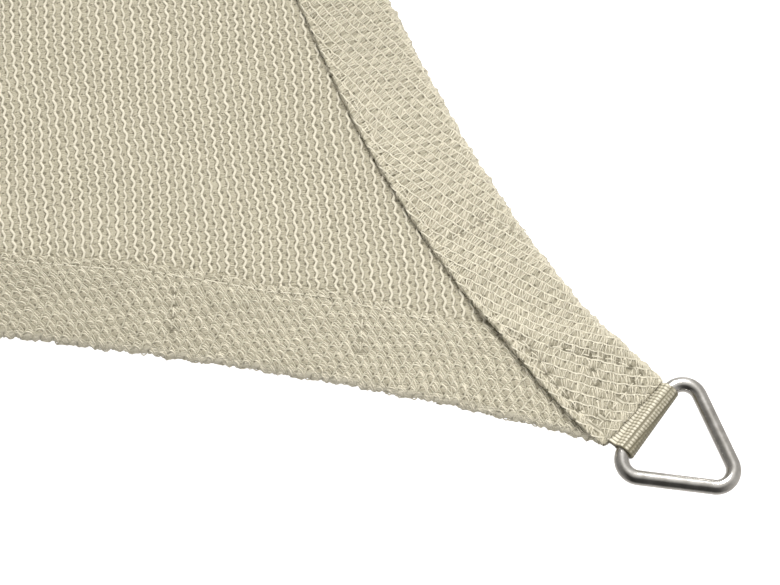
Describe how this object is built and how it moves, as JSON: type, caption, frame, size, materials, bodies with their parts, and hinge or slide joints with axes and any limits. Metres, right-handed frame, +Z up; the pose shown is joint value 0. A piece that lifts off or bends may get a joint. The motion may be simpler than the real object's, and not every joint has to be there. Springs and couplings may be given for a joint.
{
  "type": "shade sail",
  "caption": "Square knitted shade sail with inward-curving hemmed sides and a triangular wire ring held in a webbing loop at each corner, laid flat.",
  "frame": {"origin": "middle of the laid sail, on the surface that it lies on", "axes": "+Z up out of the cloth's upper face; +X and +Y along two neighbouring sides' chords, the pictured corner at +X -Y"},
  "size_m": [2.0892, 2.0892, 0.0082],
  "materials": {
    "shade_cloth": "knitted round-yarn and tape cloth, pale sand, matt with a slight plastic glint",
    "webbing": "ribbed narrow webbing, sand",
    "stainless_wire": "bright drawn stainless wire, softly polished"
  },
  "bodies": {
    "root": {"sail_panel": "shade_cloth", "corner_webbing_1": "webbing", "corner_webbing_2": "webbing", "corner_webbing_3": "webbing", "corner_webbing_4": "webbing", "corner_ring_1": "stainless_wire", "corner_ring_2": "stainless_wire", "corner_ring_3": "stainless_wire", "corner_ring_4": "stainless_wire"}
  },
  "joints": []
}
